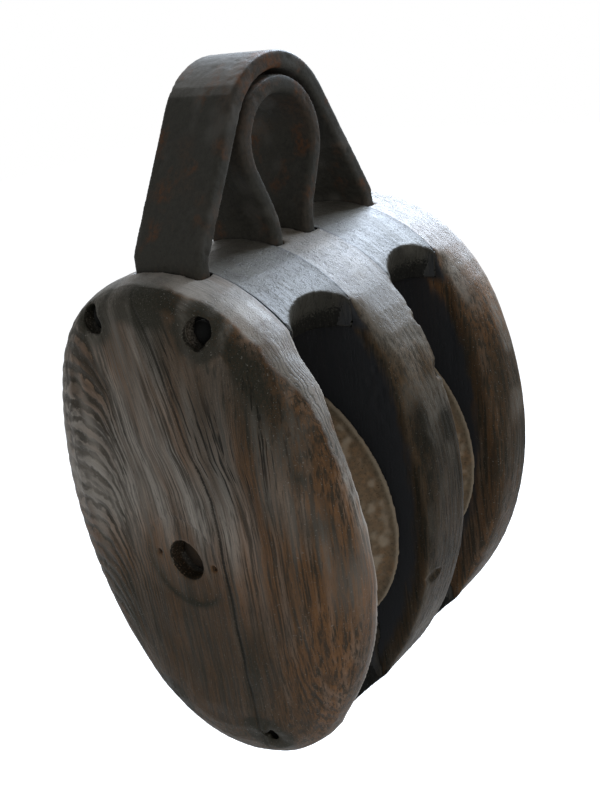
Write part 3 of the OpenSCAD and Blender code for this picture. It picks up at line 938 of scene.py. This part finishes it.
def layer_relief(p, at, ring, figure, chips, seed):
    """How deep the weather has cut each point of a layer, in millimetres, and where it is chipped."""
    fibres = 1 + noise(p, (1.8, 1.8, 20), seed + 4, 2)
    swells = 1 + noise(p, (40, 40, 55), seed + 5, 2)
    grains = 1 + noise(p, (2.4, 2.4, 2.4), seed + 6, 2)
    depth = 0.25 * ring_wave(ring) ** 2 * figure + 0.10 * fibres * (1 - 0.8 * at.crown)
    depth += 0.175 * swells + 0.04 * at.crown * grains
    depth *= at.open_side * np.where(np.abs(p[:, 0]) < JOINT_HALF, soft(0.8, 3.5, at.near), 1.0)
    bare = np.zeros(len(p))
    for place, size, deep in chips:
        ragged = 0.3 * noise(p, (3, 3, 3), seed + 9)
        chip = soft(1.3, 0.7, np.hypot.reduce((p - place) / size, axis=1) + ragged)
        depth += deep * chip
        bare += chip
    crumbs = soft(0.1, 0.5, noise(p, (3.5, 3.5, 6), seed + 15, 2))
    depth += 0.6 * at.worn_edge * soft(30, 80, p[:, 2]) * crumbs
    return depth, bare


def layer_warmth(p, at, bare, brown, wall_brown, seed):
    """Where a layer is brown and not grey."""
    z = p[:, 2]
    warm = brown + 0.45 * soft(60, -40, z) + 0.35 * noise(p, (30, 30, 70), seed + 7, 2)
    warm += 0.6 * at.worn_edge * soft(110, 70, z) + 0.5 * bare + wall_brown * at.wall
    return warm - 0.3 * at.crown - 0.6 * soft(62, 92, z) * at.open_side - 0.55 * at.outer_face


def layer_grime(p, at, dark, seed):
    """Where a layer is darker: dirt in patches, along its worn edges and on its crown, weathering on its
    outer faces, darker towards the bottom, and painted shade on the walls inside the swallows and on the
    scoops.
    """
    x, _, z = p.T
    grime = 0.3 * soft(0.0, 0.9, noise(p, (22, 22, 50), seed + 8, 2))
    grime += 0.3 * at.worn_edge * soft(60, 90, z) + 0.3 * at.crown * soft(10, 60, x)
    grime += dark * soft(85, 55, z) * (1 - 0.25 * soft(40, 0, z))
    # Darker low on the open sides, and painted shade on the walls inside the swallows
    grime += 0.45 * soft(90, 40, z) * at.open_side * (1 - at.wall) + 0.3 * at.wall
    weathered = 0.2 + 0.3 * noise(p, (20, 20, 60), seed + 17, 2)
    # Painted shade on the scoops, and weathering on the outer faces
    return grime + 0.7 * at.scoop + weathered * at.outer_face


def layer_seams(p, at):
    """Distance from a layer's nearest joint. The foot of a scoop counts as near, so that painted shade
    darkens it.
    """
    x, y, z = p.T
    in_swallow = soft(56, 60, np.abs(x)) + at.wall * soft(2, 4, at.inset)
    seam = at.near + OUT_OF_SIGHT * in_swallow + 0.1 * soft(20, 30, y)
    scoop_dark = 0.60 - 0.42 * soft(113, 102, z)
    return np.where(at.scoop > 0.3, np.minimum(seam, scoop_dark), seam)


def layer_deep(p, at, deep_from, seed):
    """Where painted shade darkens a layer's walls inside the swallows: from a given distance inside the
    outline, and near the scoops."""
    x, _, z = p.T
    ragged = at.inset + 2 * noise(p, (3, 3, 12), seed + 16, 2)
    far_in = soft(deep_from, deep_from + 6, ragged)
    at_scoop = soft(92, 98, z) * soft(74, 64, np.abs(x))
    return 0.95 * at.wall * np.maximum(far_in, at_scoop)


def plain_layer(node, name, material, planes, voxel, pith, seed, rounds, wear=0.0, brown=0.35,
        wall_brown=0.0, dark=0.0, deep_from=1.0):
    """A layer of the shell other than the front cheek. planes are its joint faces across y. Its edges
    beside the swallows are smoothed in so many rounds and worn away by so many millimetres."""
    o, near, worn_edge = layer_mesh(node, name, planes, voxel, rounds, wear, seed)
    p = points(o)
    n = normals(o)
    x, _, z = p.T
    at = layer_regions(p, n, near, worn_edge, "filler" in node)
    ring = layer_rings(p, pith, seed)
    figure = (0.6 - 0.5 * at.crown) * (0.5 + 0.5 * soft(-0.5, 0.4, noise(p, (24, 24, 50), seed + 2)))
    figure *= 0.3 + 0.7 * ring_strength(ring, seed + 12)
    depth, bare = layer_relief(p, at, ring, figure, CHIPS.get(node, []), seed)
    move(o, p - n * depth[:, None])
    bleached = 0.3 * soft(0.3, 0.9, noise(p, (16, 16, 30), seed + 10, 2)) + 0.15 * soft(66, 92, z)
    none = np.zeros(len(p))
    paint(
        o,
        ring=ring,
        flow=x + 2 * noise(p, (30, 30, 60), seed + 14),
        figure=figure,
        fine=none,
        warm=unit(layer_warmth(p, at, bare, brown, wall_brown, seed)),
        grime=unit(layer_grime(p, at, dark, seed)),
        worn=unit(bleached * at.open_side),
        shake=none + OUT_OF_SIGHT,
        split=none,
        checked=0.25 * at.open_side,
        seam=layer_seams(p, at),
        # Painted shade on the walls inside the swallows
        deep=unit(layer_deep(p, at, deep_from, seed)),
        polish=soft(0.3, 0.7, n[:, 2]) * (1 - at.scoop),
    )
    dress(o, node, "block", material)


# Iron
def forged(node, material, voxel, rounds, seed, rust_at=None, swell=0.0):
    """An iron piece with hammer marks and rust pits. It swells above the shell to make up for them."""
    o = remeshed(node, node + "_iron", voxel)
    relax(o, rounds, 0.5)
    near_cad(o, node, 0.8)
    p = points(o)
    n = normals(o)
    p[:, 0] += swell * n[:, 0] * soft(CROWN_Z, CROWN_Z + 4, p[:, 2])
    hammered = 1 + noise(p, (13, 13, 13), seed, 2)
    rough = 1 + noise(p, (2.6, 2.6, 2.6), seed + 1, 2)
    pits = soft(0.45, 0.9, noise(p, (5, 5, 5), seed + 2, 2))
    depth = 0.06 * hammered + 0.07 * rough + 0.25 * pits
    move(o, p - n * depth[:, None])
    rust = rust_at(p) if rust_at else 0.3 * noise(p, (20, 20, 20), seed + 3, 2)
    worn = 0.5 * soft(0.2, 0.9, noise(p, (12, 12, 12), seed + 4, 2))
    paint(o, rust=unit(rust), worn=unit(worn), polish=soft(0.55, 0.85, n[:, 2]))
    dress(o, node, "block", material)


def outer_strap_rust(p):
    """Rust on the outer strap, most of it along the right edge."""
    edge = soft(11, 17, p[:, 0])
    patches = soft(0.2, 0.8, noise(p, (18, 18, 26), 71, 2))
    return 0.8 * edge * patches + 0.3 * noise(p, (16, 16, 30), 72, 2)


# A sheave's hub stays as made, and its groove is pitted and rusty
HUB_R = 18
GROOVE_DEEP = 12
GROOVE_HALF = 13.5


def grooved_sheave(node, name, body, middle_y, seed):
    o = remeshed(node, name, 1.1)
    relax(o, 3, 0.5)
    p = points(o)
    n = normals(o)
    r = np.hypot(p[:, 0], p[:, 2])
    from_middle = np.abs(p[:, 1] - middle_y)
    groove = soft(SHEAVE_R - GROOVE_DEEP, SHEAVE_R - GROOVE_DEEP + 4, r)
    groove *= soft(GROOVE_HALF, GROOVE_HALF - 2, from_middle)
    hammered = 1 + noise(p, (12, 12, 12), seed, 2)
    rough = 1 + noise(p, (2.6, 2.6, 2.6), seed + 1, 2)
    pitted = 1 + noise(p, (3.0, 3.0, 3.0), seed + 2, 2)
    depth = 0.12 * hammered + 0.10 * rough + 0.40 * groove * pitted
    depth = np.where(r < HUB_R, 0.0, depth)
    move(o, p - n * depth[:, None])
    rust = 0.75 * groove + 0.3 * noise(p, (16, 16, 16), seed + 3, 2)
    rubbed_rim = soft(SHEAVE_R - 1.6, SHEAVE_R - 0.6, r)
    worn = groove * soft(0.1, 0.9, noise(p, (5, 5, 5), seed + 4, 2)) + 0.7 * rubbed_rim
    paint(o, rust=unit(rust), worn=unit(worn), polish=np.zeros(len(p)))
    dress(o, node, body, SHEAVE_IRON)


# The pieces
front_cheek()
plain_layer(
    "cheek_back", "back_cheek_wood", CHEEK_WOOD, [JOINT_OUT],
    voxel=1.2, pith=(20, 180), seed=100, rounds=30, wear=8.0,
    brown=1.0, wall_brown=0.6, dark=0.35, deep_from=13.0,
)
plain_layer(
    "partition", "partition_wood", LAYER_WOOD, [-JOINT_IN, JOINT_IN],
    voxel=1.1, pith=(12, 170), seed=120, rounds=12, wear=6.0,
    brown=0.65, wall_brown=0.1, dark=0.4, deep_from=6.0,
)
for where, planes, seed in (("front", [-JOINT_OUT, -JOINT_IN], 140), ("back", [JOINT_IN, JOINT_OUT], 160)):
    for end, voxel, step in (("head", 1.1, 0), ("tail", 1.3, 9)):
        plain_layer(
            end + "_filler_" + where, end + "_filler_wood_" + where, FILLER_WOOD, planes,
            voxel=voxel, pith=(5, 60), seed=seed + step, rounds=3,
        )

forged(
    "outer_strap", STRAP_IRON,
    voxel=1.0, rounds=3, seed=200, rust_at=outer_strap_rust, swell=0.1,
)
forged("inner_strap", STRAP_IRON, voxel=1.0, rounds=3, seed=220, swell=0.15)
grooved_sheave("sheave_front", "front_sheave_iron", "front_wheel", -SHEAVE_Y, 240)
grooved_sheave("sheave_back", "back_sheave_iron", "back_wheel", SHEAVE_Y, 260)
for node in ("head_rivet_left", "head_rivet_right", "tail_rivet_left", "tail_rivet_right"):
    forged(node, RIVET_IRON, voxel=0.8, rounds=2, seed=280)
for node in ("clench_rings_front", "clench_rings_back"):
    forged(node, RIVET_IRON, voxel=0.6, rounds=1, seed=290)
forged("sheave_pin", PIN_IRON, voxel=0.9, rounds=2, seed=300)
for node in ("bush_front", "bush_back"):
    bush = frame["nodes"][node]
    bush.data.materials.clear()
    bush.data.materials.append(BRONZE)


# Floor, sky and lamps, with distances in metres and powers in watts
FLOOR_DROP = 0.35
FLOOR_HALF = 4.0
FLOOR_GREY = (0.5, 0.5, 0.5, 1)
FLOOR_GLOW = 0.95
SKY_TINT = (0.8, 0.9, 1.0, 1)
SKY_STRENGTH = 0.24
WHITE = (1, 1, 1, 1)


def straight_rays(tree):
    """1 for rays that see the background itself, or its image in metal or glass."""
    path = tree.nodes.new("ShaderNodeLightPath")
    seen = calc(tree, "MAXIMUM", path.outputs["Is Camera Ray"], path.outputs["Is Glossy Ray"])
    return calc(tree, "MAXIMUM", seen, path.outputs["Is Transmission Ray"])


def make_stage():
    """A pale floor some way below the block. It glows where it is seen, and keeps the shadow."""
    z = cad_box[0][2] - FLOOR_DROP
    corners = [(x * FLOOR_HALF, y * FLOOR_HALF, z) for x, y in ((-1, -1), (1, -1), (1, 1), (-1, 1))]
    mesh = bpy.data.meshes.new("floor")
    mesh.from_pydata(corners, [], [(0, 1, 2, 3)])
    floor = bpy.data.objects.new("floor", mesh)
    bpy.context.scene.collection.objects.link(floor)
    material = bpy.data.materials.new("floor")
    material.use_nodes = True
    tree = material.node_tree
    tree.nodes.clear()
    matt = add(tree, "BsdfDiffuse", {"Color": FLOOR_GREY})
    glow = add(tree, "Emission", {"Color": WHITE, "Strength": times(tree, straight_rays(tree), FLOOR_GLOW)})
    both = add(tree, "AddShader", {0: matt, 1: glow})
    tree.links.new(both, tree.nodes.new("ShaderNodeOutputMaterial").inputs["Surface"])
    mesh.materials.append(material)


def make_sky():
    """White where it is seen, and a dim bluish fill light for the rest."""
    world = bpy.data.worlds.new("sky")
    bpy.context.scene.world = world
    world.use_nodes = True
    tree = world.node_tree
    tree.nodes.clear()
    dim = add(tree, "Background", {"Color": SKY_TINT, "Strength": SKY_STRENGTH})
    white = add(tree, "Background", {"Color": WHITE, "Strength": 1.0})
    both = add(tree, "MixShader", {0: straight_rays(tree), 1: dim, 2: white})
    tree.links.new(both, tree.nodes.new("ShaderNodeOutputWorld").inputs["Surface"])


def lamp(name, towards, away, size, power, tint):
    """A soft square lamp in a direction from the block's middle, facing it."""
    data = bpy.data.lights.new(name, "AREA")
    data.size = size
    data.energy = power
    data.color = tint
    o = bpy.data.objects.new(name, data)
    bpy.context.scene.collection.objects.link(o)
    direction = Vector(towards).normalized()
    o.location = Vector(PIN) * MM + direction * away
    o.rotation_mode = "QUATERNION"
    o.rotation_quaternion = direction.to_track_quat("Z", "Y")


make_stage()
make_sky()
lamp("window", towards=(-0.06, 0.76, 0.6), away=1.0, size=0.8, power=28, tint=(0.71, 0.83, 1.0))
lamp("room_front", towards=(-0.65, -0.75, 0.1), away=1.4, size=1.4, power=2.1, tint=(1.0, 0.97, 0.92))
lamp("room_right", towards=(0.85, -0.5, 0.2), away=1.4, size=0.9, power=4.2, tint=(1.0, 0.98, 0.94))

bpy.context.scene.view_settings.view_transform = "Standard"
